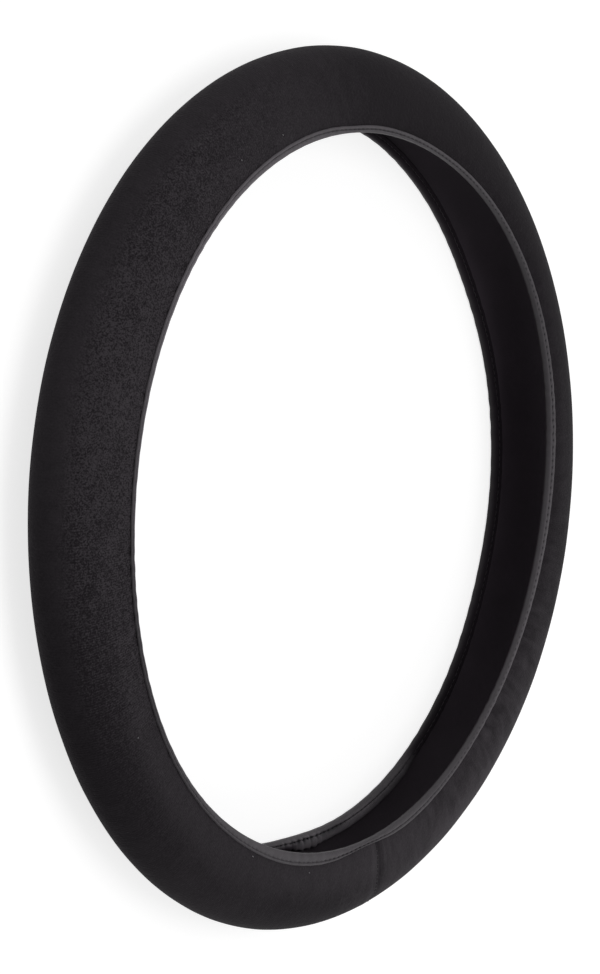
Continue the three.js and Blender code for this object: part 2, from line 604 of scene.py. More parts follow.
def nap_and_painted_light(turn, share):
    """How light the skin is, around 0, at each place: partly the lay of the pile, partly painted
    light and shade.
    """
    on_crown = rising(from_lip(share), *CROWN_NAP_AND_LIGHT_RISE)
    nap = bulges(turn, NAP_AND_LIGHT_STRIP) + on_crown * bulges(turn, NAP_AND_LIGHT_CROWN)
    return nap + hump(from_lip(share), *SHOULDER) * bulges(turn, NAP_AND_LIGHT_SHOULDER)


def tape_trough(radius, height, turn):
    """Narrow dip of the skin along the edge of each tape, in mm."""
    plain_edge = np.full_like(turn, TAPE_NOSE + TAPE_REACH)
    edge = np.where(height > 0, on_front_tape(plain_edge, turn), plain_edge)
    dip = -TAPE_TROUGH * hump(radius - edge, *TROUGH_PLACE)
    return dip * (np.abs(height) > TROUGH_LEAST_HEIGHT)


def skin_relief(turn, away, along, share):
    """Height of the skin over the plain layer, in mm. away is the mm from the seam."""
    near_lips = hump(share, 0, LIP_ZONE) + hump(1 - share, 0, LIP_ZONE)
    creases = np.zeros_like(turn)
    for place, height, width in SEAM_CREASES:
        creases = creases + height * hump(away, place, width)
    creases = creases * hump(share, *CREASE_ZONE)
    pulled = ripple(turn, along, *LIP_RIPPLE) * near_lips
    pulled = pulled * (LIP_RIPPLE_LEAST + brushed_amount(turn))
    broad = ripple(turn, along, *BROAD_RIPPLE)
    return seam_profile(away, share) + creases + pulled + broad


def skin_face(offset):
    """The skin's outer face, or a face so many mm inside it."""
    return layer_face(offset, SKIN_END_RADIUS, SKIN_WALL_STEPS, SKIN_CROWN_STEPS, SKIN_EDGE_DROP)


def run_lengths(points):
    """Length along a run of points up to each of them."""
    return np.r_[0, np.cumsum(np.linalg.norm(np.diff(points, axis=0), axis=1))]


def beside_seam(away_turn, signed, share):
    """Angle on the ring of places counted from the seam, which strays at the crown."""
    skew = sizes().seam_skew * np.sin(math.pi * share) ** 4
    return SEAM_TURN + away_turn + skew * hump(signed, 0, SEAM_SKEW_ZONE)


def make_skin():
    """The velour strip, bent once round the ring, with both of its ends at the seam."""
    outer = skin_face(0.0)
    inner = skin_face(sizes().skin_thickness / MM)
    lengths = run_lengths(outer)
    share = lengths / lengths[-1]
    section = np.vstack([outer, inner[::-1]])
    share = np.r_[share, share[::-1]]
    on_top = np.r_[np.ones(len(outer)), np.zeros(len(inner))]
    normals = section_normals(outer)
    normals = np.vstack([normals, normals[::-1]])
    away_turn = skin_turns()
    grid, share_grid = np.meshgrid(away_turn, share, indexing="ij")
    signed = (grid + math.pi) % FULL_TURN - math.pi
    turn = beside_seam(grid, signed, share_grid)
    away = signed * SEAM_RADIUS
    along = share_grid * math.pi
    relief = skin_relief(SEAM_TURN + grid, away, along, share_grid)
    relief = relief + tape_trough(section[None, :, 0], section[None, :, 1], turn)
    relief = relief * on_top[None, :]
    radius = section[None, :, 0] + normals[None, :, 0] * relief
    height = section[None, :, 1] + normals[None, :, 1] * relief
    points = settled(radius, height, turn)
    count = len(section)
    faces = np.vstack(
        [
            loop_faces(len(away_turn), count, False),
            end_faces(0, len(outer), count, False),
            end_faces((len(away_turn) - 1) * count, len(outer), count, True),
        ]
    )
    finish = material("black_velour", fill_velour)
    piece = link_piece("velour_skin", points, faces, finish, ["fabric_cover"])
    grainy = 1 - GRAIN_LOSS * rising(from_lip(share_grid), *GRAIN_FADE)
    ribbed = hump(turn_from(turn, RIBS_DIRECTION), 0, RIBS_WIDTH)
    add_attribute(piece, "ring_length", grid * OUTER_RADIUS * MM)
    add_attribute(piece, "brushed", brushed_amount(turn) * grainy)
    add_attribute(piece, "ribbed", ribbed * grainy)
    add_attribute(piece, "streaked", streaked_amount(turn))
    add_attribute(piece, "nap_and_painted_light", nap_and_painted_light(turn, share_grid) + seam_shade(away, share_grid))
    add_attribute(piece, "strip_width", share_grid * lengths[-1] * MM)
    return piece


# Rubber ring


RUBBER_RINGS = 360
RUBBER_CROWN_STEPS = 36
RUBBER_WALL_STEPS = 5
RUBBER_END_RADIUS = 157.0
RUBBER_EDGE_DROP = 0.1

# Painted light and shade on the rubber, evening out how lit its channel looks: how much lighter it
# is, as (direction in degrees, width in degrees, share)
RUBBER_LIGHT_AND_SHADE = ((0, 32, 0.35), (55, 25, -0.12), (-80, 25, -0.25))


def make_rubber():
    """The anti-slip ring inside the skin."""
    offset = sizes().rubber_offset / MM
    inside = offset + sizes().rubber_thickness / MM
    walls = (RUBBER_END_RADIUS, RUBBER_WALL_STEPS, RUBBER_CROWN_STEPS)
    outer = layer_face(offset, *walls, SKIN_EDGE_DROP)
    inner = layer_face(inside, *walls, RUBBER_EDGE_DROP)
    section = np.vstack([outer, inner[::-1]])
    turn, radius = np.meshgrid(
        np.arange(RUBBER_RINGS) * FULL_TURN / RUBBER_RINGS, section[:, 0], indexing="ij"
    )
    height = np.broadcast_to(section[None, :, 1], radius.shape)
    points = settled(radius, height, turn)
    faces = loop_faces(RUBBER_RINGS, len(section), True)
    finish = material("matte_rubber", fill_rubber)
    piece = link_piece("anti_slip_ring", points, faces, finish, ["rubber_ring"])
    add_attribute(piece, "rubber_painted_light", 1 + bulges(turn, RUBBER_LIGHT_AND_SHADE))


# Edge tapes and their stitches


STEPS_PER_STITCH = 7
PINCH_LENGTH = 0.62
BACKTACK_DIRECTION = -92
BACKTACK_WIDTH = 3.0
BACKTACK_PULL = 1.4

# Where the needle holes gape: a wide stretch as (direction, width) and the pulled ones at the seam
# as (direction, width, amount), in degrees
HOLES_LEAST = 0.3
OPEN_HOLES = (5, 75)
PULLED_HOLES = ((-95, 6, 0.9),)
# Strength of the painted shade in the needle holes of the grooves
HOLE_SHADE = 1.6

# How deep the stitches pull the tape in and how wide the pull is, in mm
NEEDLE_PULL, NEEDLE_PULL_WIDTH = 0.3, 0.5
BOBBIN_PULL, BOBBIN_PULL_WIDTH = 0.3, 0.42
BESIDE_PULL, BESIDE_PULL_WIDTH = 0.07, 1.2

# Pleats of the rear tape's inner flap behind the seam: direction and width in degrees, pitch in
# mm, and how far they sink and reach, evenly and by pleats, in mm
GATHER_DIRECTION = -93.4
GATHER_WIDTH = 5.8
GATHER_PITCH = 4.6
PLEAT_UNEVENNESS = 0.7
GATHER_DROP, PLEAT_DROP = 0.5, 0.6
GATHER_REACH, PLEAT_REACH = 0.3, 0.6
# Painted shade in the hollows between the pleats, and its width in mm
HOLLOW_SHADE = 1.1
HOLLOW_WIDTH = 1.1

# Where the rear tape is turned up towards the light: its middle direction, how far this goes
# before it on the outer leg and on the flap, where it ends after it, and its fades, in degrees
TURNED_UP_DIRECTION = -70
OUTER_LEG_BEFORE, FLAP_BEFORE = 85, 27
TURNED_UP_END = 11
TURNED_UP_RISE, TURNED_UP_FADE = 4, 6

# Heights over the middle plane that part the tape's outer leg, its flap and its two lit sides,
# in mm
OUTER_LEG_HEIGHT = 15.5
FLAP_HEIGHT = 15.0
FLAP_FADE = 1.2
TURNED_HEIGHT = 15.2

# Radii between which the nose's light fades and the flap's reach grows: start and width in mm
NOSE_FADE = (156.8, 1.8)
FLAP_RISE = (157.3, 1.9)

# Where the flap stands away from the rubber, with its reach in mm and its hollows as (direction
# in degrees, width in degrees, depth of shade)
FLAP_REACH = 1.7
FLAP_HOLLOWS = ((-84.5, 3.8, 0.9),)

# Painted light and shade on the tapes: painted highlights on the front one where its satin catches
# the light, painted shade on the rear one and painted light on its flap's pleats, each as
# (direction in degrees, width in degrees, share)
TAPE_PAINTED_LIGHT = ((145, 40, 1.25), (-33, 32, 0.43))
REAR_TAPE_SHADE = ((-50, 12, -0.45),)
FLAP_PAINTED_LIGHT = ((-87, 14, 1.1),)
TAPE_RADIUS = 157.0

# Where each tape's satin face passes into its inner leg, which is made dull and painted near-black
# as the shade of the channel: height and fade in mm
FRONT_INNER_LEG = (16.8, 2.0)
REAR_INNER_LEG = (19.0, 5.2)
# Share of the inner leg's painted shade that is taken off where the rear tape is turned up towards
# the light
LIT_PLEATS = 0.9


def stitch_turns():
    """Angles of the tapes' rings, in step with the needle holes."""
    count = sizes().stitch_count * STEPS_PER_STITCH
    return np.arange(count) * FULL_TURN / count


def pinch(turn):
    """1 at a needle hole and 0 between two of them."""
    pitch = FULL_TURN / sizes().stitch_count
    away = (turn + pitch / 2) % pitch - pitch / 2
    return hump(away * TAPE_RADIUS, 0, PINCH_LENGTH)


def backtack(turn):
    """More pull on the stitches beside the cross seam."""
    return 1 + BACKTACK_PULL * hump(turn_from(turn, BACKTACK_DIRECTION), 0, BACKTACK_WIDTH)


def open_holes(turn):
    """1 where the needle holes gape, and 0 where the tape closes over them."""
    direction, width = OPEN_HOLES
    wide = plateau(turn_from(turn, direction), width)
    return np.minimum(wide + bulges(turn, PULLED_HOLES), 1)


def near_point(section, place, reach):
    """1 at a place of the section, fading over a reach in mm."""
    return hump(np.linalg.norm(section - np.array(place), axis=1), 0, reach)


def tape_section():
    """Closed section of the folded tape, and how many of its points lie on the showing side."""
    showing = smooth_run(TAPE_SHOWING, 2)
    return np.vstack([showing, np.array(TAPE_HIDDEN)]), len(showing)


def turned_up(turn, before):
    """1 where the rear tape is turned up, from so many degrees before its middle to its end."""
    away = turn_from(turn, TURNED_UP_DIRECTION)
    before_end = smooth_step((TURNED_UP_END - away) / TURNED_UP_FADE)
    return smooth_step((away + before) / TURNED_UP_RISE) * before_end


def gathers(turn):
    """Pleats of the rear tape's inner flap behind the cross seam: their zone and their shape."""
    away = turn_from(turn, GATHER_DIRECTION)
    zone = plateau(away, GATHER_WIDTH)
    length = np.radians(away) * TAPE_RADIUS
    uneven = PLEAT_UNEVENNESS * np.sin(length)
    pleat = 0.5 + 0.5 * np.cos(FULL_TURN * length / GATHER_PITCH + uneven)
    return zone[:, None], pleat[:, None]


def make_tape(name, front, replaced):
    """The tape folded over one mouth edge, pulled in at each needle hole."""
    section, showing = tape_section()
    turn = stitch_turns()
    grid, radius = np.meshgrid(turn, section[:, 0], indexing="ij")
    height = np.broadcast_to(section[None, :, 1], radius.shape).copy()
    hole = pinch(grid) * backtack(grid) * (HOLES_LEAST + (1 - HOLES_LEAST) * open_holes(grid))
    outer_groove = near_point(section, NEEDLE_GROOVE, NEEDLE_PULL_WIDTH)[None, :]
    inner_groove = near_point(section, BOBBIN_GROOVE, BOBBIN_PULL_WIDTH)[None, :]
    beside = near_point(section, NEEDLE_GROOVE, BESIDE_PULL_WIDTH)[None, :]
    height -= hole * (NEEDLE_PULL * outer_groove + BESIDE_PULL * beside)
    height += hole * BOBBIN_PULL * inner_groove
    height += ripple(grid, np.zeros_like(grid), *(FRONT_TAPE_RIPPLE if front else REAR_TAPE_RIPPLE))
    if front:
        outer_leg = section[None, :, 1] > OUTER_LEG_HEIGHT
        radius = np.where(outer_leg, on_front_tape(radius, grid), radius)
    else:
        zone, pleat = gathers(turn)
        flap = (section[:, 1] < FLAP_HEIGHT) * (np.arange(len(section)) < showing)
        flap = flap * smooth_step((FLAP_HEIGHT - section[:, 1]) / FLAP_FADE)
        height -= zone * (GATHER_DROP + PLEAT_DROP * pleat**3) * flap
        upper = section[None, :, 1] > TURNED_HEIGHT
        lit = turned_up(grid, np.where(upper, OUTER_LEG_BEFORE, FLAP_BEFORE))
        reach = FLAP_REACH * lit + zone * (GATHER_REACH + PLEAT_REACH * pleat)
        beside_nose = 1 - rising(section[None, :, 0], *NOSE_FADE)
        lit = np.maximum(lit, beside_nose * turned_up(grid, OUTER_LEG_BEFORE))
        lower = section[None, :, 1] < TURNED_HEIGHT
        radius = radius + reach * (rising(radius, *FLAP_RISE) * lower)
    side = 1 if front else -1
    points = settled(radius, side * height, grid)
    faces = loop_faces(len(turn), len(section), True)
    if front:
        faces = faces[:, ::-1]
    finish = material("smooth_edge_tape", fill_tape)
    piece = link_piece(name, points, faces, finish, replaced)
    # The inner leg is painted near-black as the shade of the channel, less so where the rear tape
    # is turned up to the light
    top, fade = FRONT_INNER_LEG if front else REAR_INNER_LEG
    inside = smooth_step((top - section[:, 1]) / fade)[None, :] * np.ones_like(grid)
    # Painted shade in the needle holes of both grooves
    hole_shades = HOLE_SHADE * hole * (outer_groove + inner_groove)
    if front:
        # Painted highlights and shade along each tape
        painted_light = bulges(grid, TAPE_PAINTED_LIGHT)
    else:
        inside = inside * (1 - LIT_PLEATS * lit)
        painted_light = bulges(grid, REAR_TAPE_SHADE) + bulges(grid, FLAP_PAINTED_LIGHT) * flap
        # Painted shade in the hollows between the pleats and behind the flap
        between = near_point(section, BOBBIN_GROOVE, HOLLOW_WIDTH)[None, :]
        hollow_shade = HOLLOW_SHADE * zone * (1 - pleat) ** 2 + bulges(grid, FLAP_HOLLOWS)
        hole_shades = hole_shades + hollow_shade * between
    add_attribute(piece, "shaded_inner_leg", inside)
    add_attribute(piece, "tape_painted_light", 1 + painted_light)
    add_attribute(piece, "needle_hole_shade", np.clip(hole_shades, 0, 1))
    add_attribute(piece, "ring_length", grid * TAPE_RADIUS * MM)


THREAD_SIDES = 6
THREAD_RISE = 0.12
THREAD_DIP = 0.42
THREAD_MOST_PULL = 1.6
THREAD_SLANT = 0.16


def make_edge_thread(name, groove, front, replaced):
    """Thread that rises from each needle hole, lies along the groove and dips into the next."""
    inside = groove is BOBBIN_GROOVE
    turn = stitch_turns()
    dip = THREAD_DIP * pinch(turn) * np.minimum(backtack(turn), THREAD_MOST_PULL)
    outwards = -1 if inside else 1
    pitch = FULL_TURN / sizes().stitch_count
    slant = ((turn % pitch) / pitch - 0.5) * 2 * THREAD_SLANT * (1 - pinch(turn))
    radius = groove[0] + slant
    if front and not inside:
        radius = on_front_tape(radius, turn)
    height = groove[1] + outwards * (THREAD_RISE - dip)
    if not front and inside:
        height = height - GATHER_DROP * hump(turn_from(turn, GATHER_DIRECTION), 0, GATHER_WIDTH)
    round_turn = np.arange(THREAD_SIDES) * FULL_TURN / THREAD_SIDES
    thick = sizes().thread_diameter / MM / 2
    grid, around = np.meshgrid(turn, round_turn, indexing="ij")
    side = 1 if front else -1
    points = settled(
        radius[:, None] + thick * np.cos(around),
        side * (height[:, None] + thick * np.sin(around)),
        grid,
    )
    faces = loop_faces(len(turn), THREAD_SIDES, True)
    if not front:
        faces = faces[:, ::-1]
    piece = link_piece(name, points, faces, sewing_thread(), replaced)
    add_attribute(piece, "ring_length", grid * TAPE_RADIUS * MM)


# Cross seam


LACING_PITCH = 2.1
LACING_STEPS = 8
LACING_SIDES = 6
LACING_STEP_LENGTH = 0.25
LACING_END_SHARE = 0.06

# Where a stitch starts and ends across the seam in mm, and over what share of its pitch it crosses
LACING_FROM, LACING_TO = -1.0, 1.2
CROSSING_SHARE = 0.15

# How high a stitch bows over the skin and how deep its ends and its run below lie, in mm
STITCH_BOW, STITCH_END_DEPTH, STITCH_RUN_DEPTH = 0.16, 0.08, 0.35

# An axis that no tube runs along, from which its first side is turned
TUBE_SIDE_AXIS = (0.3, 0.5, 0.8)


def tube(path, radius, sides):
    """Round tube along a path in metres: its points and quads, with closed ends."""
    path = np.asarray(path, float)
    along = np.gradient(path, axis=0)
    along = along / np.linalg.norm(along, axis=1)[:, None]
    side = np.cross(along[0], TUBE_SIDE_AXIS)
    rings = []
    for place, direction in zip(path, along):
        side = side - direction * np.dot(side, direction)
        side = side / np.linalg.norm(side)
        up = np.cross(direction, side)
        for step in range(sides):
            turn = FULL_TURN * step / sides
            rings.append(place + radius * (side * math.cos(turn) + up * math.sin(turn)))
    faces = loop_faces(len(path), sides, False)
    last = (len(path) - 1) * sides
    caps = []
    for step in range(1, sides - 2, 2):
        caps.append((0, step, step + 1, step + 2))
        caps.append((last, last + step + 2, last + step + 1, last + step))
    return np.array(rings), np.vstack([faces, np.array(caps)])


def skin_place(away, share, lift):
    """Points in metres at mm from the seam, share of the section and mm over the skin."""
    outer = skin_face(0.0)
    lengths = run_lengths(outer)
    places = lengths / lengths[-1]
    normals = section_normals(outer)
    grid = np.asarray(away) / SEAM_RADIUS
    relief = skin_relief(SEAM_TURN + grid, away, share * math.pi, share) + lift
    section = []
    for face, normal in zip(outer.T, normals.T):
        section.append(np.interp(share, places, face) + np.interp(share, places, normal) * relief)
    return settled(*section, beside_seam(grid, grid, share))


def make_lacing():
    """Ladder of short stitches across the cross seam, one thread from end to end."""
    laced = 1 - 2 * LACING_END_SHARE
    rungs = round(STRIP_WIDTH * laced / LACING_PITCH)
    away, share, lift = [], [], []
    for rung in range(rungs):
        start = LACING_END_SHARE + laced * rung / rungs
        for step in range(LACING_STEPS):
            t = step / LACING_STEPS
            if t < 0.5:
                across = t * 2
                along = CROSSING_SHARE * across
                lift.append(STITCH_BOW * math.sin(math.pi * across) - STITCH_END_DEPTH)
            else:
                across = 2 - t * 2
                along = CROSSING_SHARE + (1 - CROSSING_SHARE) * (t * 2 - 1)
                lift.append(-STITCH_RUN_DEPTH)
            away.append(LACING_FROM + (LACING_TO - LACING_FROM) * across)
            share.append(start + laced / rungs * along)
    path = skin_place(np.array(away), np.array(share), np.array(lift))
    points, faces = tube(path, sizes().thread_diameter / 2, LACING_SIDES)
    piece = link_piece(
        "cross_seam_stitches", points, faces, sewing_thread(), ["cross_seam_thread"]
    )
    lengths = np.arange(len(path)) * LACING_STEP_LENGTH * MM
    add_attribute(piece, "ring_length", np.repeat(lengths, LACING_SIDES))


# Lint


# Specks of lint: ring angle in degrees, share of the section from the front mouth, length in mm
LINT_SPECKS = (
    (106, 0.09, 0.5),
    (116, 0.12, 0.4),
    (205, 0.16, 0.5),
    (255, 0.6, 0.9),
    (239, 0.06, 0.8),
    (254, 0.08, 0.4),
    (30, 0.65, 0.7),
    (80, 0.8, 0.8),
    (-20, 0.75, 0.6),
    (170, 0.78, 0.7),
)
LINT_RADIUS = 0.12
LINT_LIFT, LINT_ARCH = 0.12, 0.1
LINT_CURL = 0.4
LINT_POINTS = 5
LINT_SIDES = 6
LINT_SEED = 3


def make_lint():
    """Short curled fibres that lie on the skin."""
    random = np.random.default_rng(LINT_SEED)
    all_points, all_faces, start = [], [], 0
    for direction, share, length in LINT_SPECKS:
        curl = random.uniform(-LINT_CURL, LINT_CURL)
        heading = random.uniform(0, math.pi)
        t = np.linspace(-0.5, 0.5, LINT_POINTS)
        base = math.radians(direction - VIEW_TURN) - SEAM_TURN
        base = (base + math.pi) % FULL_TURN - math.pi
        away = base * SEAM_RADIUS + length * (t * math.cos(heading) + curl * t * t)
        places = share + length * t * math.sin(heading) / STRIP_WIDTH
        path = skin_place(away, places, LINT_LIFT + LINT_ARCH * np.cos(math.pi * t))
        points, faces = tube(path, LINT_RADIUS * MM, LINT_SIDES)
        all_points.append(points)
        all_faces.append(faces + start)
        start += len(points)
    points, faces = np.vstack(all_points), np.vstack(all_faces)
    finish = material("pale_lint", fill_lint)
    link_piece("lint_specks", points, faces, finish, [])


# Materials


# Noises, each as (scale, detail, roughness, distortion)
PILE = (1500, 1)
TUFTS = (850, 2, 0.6, 0.4)
STROKES = (150, 4, 0.62, 0.8)
STREAKS = (75, 2, 0.45, 0.6)
TAPE_CLOUDS = (260, 3, 0.6)
RUBBER_CLOUDS = (60, 3)
RUBBER_GRAIN = (900, 3, 0.6)
LINT_WISPS = (2500, 2)

# Pitch of the fine rows along the ring, in metres
WALE_PITCH = 1.15 * MM
WEAVE_PITCH = 0.55 * MM
TWIST_PITCH = 0.4 * MM

# How strongly each part of the velour shows in its shade
PILE_SHARE = 0.65
GRAIN_CONTRAST = 5.2
STROKE_CONTRAST = 1.1
WALE_CONTRAST = 0.16
STREAK_SHORTENING = 2.2
MIDDLE_SHADE = 0.42
LEAST_SHADE = 0.077

# How strongly the clouds and the weave show in the tape's shade
TAPE_CLOUD_CONTRAST = 0.9
WEAVE_CONTRAST = 0.06
# Painted shade: the near-black of the tapes' inner legs in the channel
TAPE_INSIDE_SHADE = (0.0115, 0.0085, 0.0115)
# Painted shade in the needle holes and the hollows between pleats
HOLE_SHADE_COLOUR = (0.006, 0.006, 0.007)

# The least and the most that each colour is multiplied by
TAPE_TINT = (0.75, 1.25)
RUBBER_TINT = (0.8, 1.2)
THREAD_TINT = (0.7, 1.3)
LINT_TINT = (0.7, 1.2)

# How much of the relief each part makes, and each material's relief in metres
PILE_RELIEF, TUFT_RELIEF, STROKE_RELIEF, WALE_RELIEF = 0.45, 0.55, 0.8, 0.06
WEAVE_RELIEF = 0.25
VELOUR_HEIGHT = 0.35 * MM
TAPE_HEIGHT = 0.12 * MM
RUBBER_HEIGHT = 0.15 * MM
TWIST_HEIGHT = 0.04 * MM

# Roughness that follows a noise: share of the noise and plain value
VELOUR_ROUGHNESS = (-0.15, 0.98)
TAPE_ROUGHNESS = (0.2, 0.42)
RUBBER_ROUGHNESS = (0.2, 0.6)
SHEEN_TINT = (0.9, 0.88, 0.92, 1)


def material(name, fill):
    """A material that is made once, its tree filled by a function."""
    made = bpy.data.materials.get(name)
    if made is None:
        made = bpy.data.materials.new(name)
        made.use_nodes = True
        fill(made.node_tree, made.node_tree.nodes["Principled BSDF"])
    return made


def add_node(tree, kind, **settings):
    node = tree.nodes.new(kind)
    for key, value in settings.items():
        setattr(node, key, value)
    return node


def set_inputs(node, **values):
    for key, value in values.items():
        node.inputs[key.replace("_", " ")].default_value = value
    return node


def object_place(tree):
    return add_node(tree, "ShaderNodeTexCoord").outputs["Object"]


def noise(tree, scale, detail, roughness=0.5, distortion=0.0, place=None):
    """A noise in the object's own space, or at places that another node gives."""
    node = add_node(tree, "ShaderNodeTexNoise")
    tree.links.new(place or object_place(tree), node.inputs["Vector"])
    set_inputs(node, Scale=scale, Detail=detail, Roughness=roughness, Distortion=distortion)
    return node.outputs["Fac"]


def attribute(tree, name):
    return add_node(tree, "ShaderNodeAttribute", attribute_name=name).outputs["Fac"]


def math_node(tree, operation, first, second=None, third=None):
    node = add_node(tree, "ShaderNodeMath", operation=operation)
    for place, value in enumerate((first, second, third)):
        if value is None:
            continue
        if isinstance(value, (int, float)):
            node.inputs[place].default_value = value
        else:
            tree.links.new(value, node.inputs[place])
    return node.outputs[0]


def centred(tree, value, strength):
    """A noise of 0 to 1 made to swing round 0."""
    return math_node(tree, "MULTIPLY", math_node(tree, "SUBTRACT", value, 0.5), strength)


# The colours among a Mix node's inputs and outputs, which come after its numbers and vectors
MIX_COLOURS = (6, 7)
MIX_RESULT = 2


def mixed_colour(tree, amount, dark, light):
    """A mix of two colours, each of which is given as numbers or comes from a node."""
    node = add_node(tree, "ShaderNodeMix", data_type="RGBA")
    tree.links.new(amount, node.inputs["Factor"])
    for place, value in zip(MIX_COLOURS, (dark, light)):
        if hasattr(value, "is_output"):
            tree.links.new(value, node.inputs[place])
        else:
            node.inputs[place].default_value = (*value, 1)
    return node.outputs[MIX_RESULT]


def tinted(tree, amount, colour, low, high):
    """A colour that goes from low to high times its own value."""
    dark = [low * part for part in colour]
    return mixed_colour(tree, amount, dark, [high * part for part in colour])


def scaled(tree, colour, name):
    """A colour that an attribute makes lighter or darker."""
    node = add_node(tree, "ShaderNodeVectorMath", operation="SCALE")
    tree.links.new(colour, node.inputs[0])
    tree.links.new(attribute(tree, name), node.inputs["Scale"])
    return node.outputs[0]


def bumped(tree, shader, height, distance):
    bump = add_node(tree, "ShaderNodeBump")
    set_inputs(bump, Distance=distance, Strength=1.0)
    tree.links.new(height, bump.inputs["Height"])
    tree.links.new(bump.outputs["Normal"], shader.inputs["Normal"])


def rows(tree, name, pitch):
    """Rows at a pitch in metres along an attribute that holds a length, -1 to 1."""
    phase = math_node(tree, "MULTIPLY", attribute(tree, name), FULL_TURN / pitch)
    return math_node(tree, "SINE", phase)


def across_strip_noise(tree):
    """Soft streaks of stroked pile that run across the strip."""
    place = add_node(tree, "ShaderNodeCombineXYZ")
    along = math_node(tree, "MULTIPLY", attribute(tree, "ring_length"), STREAK_SHORTENING)
    tree.links.new(along, place.inputs["X"])
    tree.links.new(attribute(tree, "strip_width"), place.inputs["Y"])
    return noise(tree, *STREAKS, place.outputs["Vector"])


def fill_velour(tree, shader):
    pile = noise(tree, *PILE)
    tufts = noise(tree, *TUFTS)
    strokes = noise(tree, *STROKES)
    wales = rows(tree, "ring_length", WALE_PITCH)
    grain = math_node(tree, "MULTIPLY", tufts, 1 - PILE_SHARE)
    grain = centred(tree, math_node(tree, "MULTIPLY_ADD", pile, PILE_SHARE, grain), GRAIN_CONTRAST)
    fine = math_node(tree, "ADD", grain, centred(tree, strokes, STROKE_CONTRAST))
    fine = math_node(tree, "MULTIPLY", fine, attribute(tree, "brushed"))
    wale = math_node(tree, "MULTIPLY", wales, WALE_CONTRAST)
    wale = math_node(tree, "MULTIPLY", wale, attribute(tree, "ribbed"))
    broad = centred(tree, across_strip_noise(tree), attribute(tree, "streaked"))
    shade = math_node(tree, "ADD", math_node(tree, "ADD", fine, wale), broad)
    # Lay of the pile, with painted light and shade round the ring and across the seam
    shade = math_node(tree, "ADD", shade, attribute(tree, "nap_and_painted_light"))
    shade = math_node(tree, "ADD", shade, MIDDLE_SHADE)
    shade = math_node(tree, "MULTIPLY_ADD", shade, 1 - LEAST_SHADE, LEAST_SHADE)
    shade = math_node(tree, "MAXIMUM", math_node(tree, "MINIMUM", shade, 1.0), 0.0)
    colour = mixed_colour(tree, shade, colours().velour_dark, colours().velour_light)
    tree.links.new(colour, shader.inputs["Base Color"])
    relief = math_node(tree, "MULTIPLY", tufts, TUFT_RELIEF)
    for part, share in ((pile, PILE_RELIEF), (strokes, STROKE_RELIEF), (wales, WALE_RELIEF)):
        relief = math_node(tree, "MULTIPLY_ADD", part, share, relief)
    bumped(tree, shader, relief, VELOUR_HEIGHT)
    roughness = math_node(tree, "MULTIPLY_ADD", tufts, *VELOUR_ROUGHNESS)
    tree.links.new(roughness, shader.inputs["Roughness"])
    set_inputs(shader, Specular_IOR_Level=0.15, Sheen_Weight=0.03, Sheen_Roughness=0.35)
    set_inputs(shader, Sheen_Tint=SHEEN_TINT)


def fill_tape(tree, shader):
    cloudy = noise(tree, *TAPE_CLOUDS)
    weave = rows(tree, "ring_length", WEAVE_PITCH)
    shade = math_node(tree, "SUBTRACT", cloudy, 0.5)
    shade = math_node(tree, "MULTIPLY_ADD", shade, TAPE_CLOUD_CONTRAST, 0.5)
    shade = math_node(tree, "MULTIPLY_ADD", weave, WEAVE_CONTRAST, shade)
    colour = tinted(tree, shade, colours().tape, *TAPE_TINT)
    # The inner leg is painted near-black as the shade of the channel
    colour = mixed_colour(tree, attribute(tree, "shaded_inner_leg"), colour, TAPE_INSIDE_SHADE)
    # Painted highlights and shade along the ring
    colour = scaled(tree, colour, "tape_painted_light")
    # Painted shade in the needle holes and hollows
    colour = mixed_colour(tree, attribute(tree, "needle_hole_shade"), colour, HOLE_SHADE_COLOUR)
    tree.links.new(colour, shader.inputs["Base Color"])
    relief = math_node(tree, "MULTIPLY_ADD", weave, WEAVE_RELIEF, cloudy)
    bumped(tree, shader, relief, TAPE_HEIGHT)
    roughness = math_node(tree, "MULTIPLY_ADD", cloudy, *TAPE_ROUGHNESS)
    roughness = math_node(tree, "MAXIMUM", roughness, attribute(tree, "shaded_inner_leg"))
    tree.links.new(roughness, shader.inputs["Roughness"])
    set_inputs(shader, Specular_IOR_Level=0.12)


def fill_rubber(tree, shader):
    cloudy = noise(tree, *RUBBER_CLOUDS)
    # Cloudy rubber, with painted light and shade round the channel
    colour = scaled(tree, tinted(tree, cloudy, colours().rubber, *RUBBER_TINT), "rubber_painted_light")
    tree.links.new(colour, shader.inputs["Base Color"])
    bumped(tree, shader, noise(tree, *RUBBER_GRAIN), RUBBER_HEIGHT)
    roughness = math_node(tree, "MULTIPLY_ADD", cloudy, *RUBBER_ROUGHNESS)
    tree.links.new(roughness, shader.inputs["Roughness"])
    set_inputs(shader, Specular_IOR_Level=0.3)


def fill_thread(tree, shader):
    twist = rows(tree, "ring_length", TWIST_PITCH)
    amount = math_node(tree, "MULTIPLY_ADD", twist, 0.5, 0.5)
    colour = tinted(tree, amount, colours().thread, *THREAD_TINT)
    tree.links.new(colour, shader.inputs["Base Color"])
    bumped(tree, shader, twist, TWIST_HEIGHT)
    set_inputs(shader, Roughness=0.6, Specular_IOR_Level=0.25)


def sewing_thread():
    return material("sewing_thread", fill_thread)


def fill_lint(tree, shader):
    colour = tinted(tree, noise(tree, *LINT_WISPS), colours().lint, *LINT_TINT)
    tree.links.new(colour, shader.inputs["Base Color"])
    set_inputs(shader, Roughness=0.95, Specular_IOR_Level=0.1)


# Stage


FLOOR_HALF = 12.0
AIM_FROM_CENTRE = Vector((-6.44, 1.56, -9.1)) * MM
LAMP_SIZE = 1.3
SENSOR_WIDTH = 36

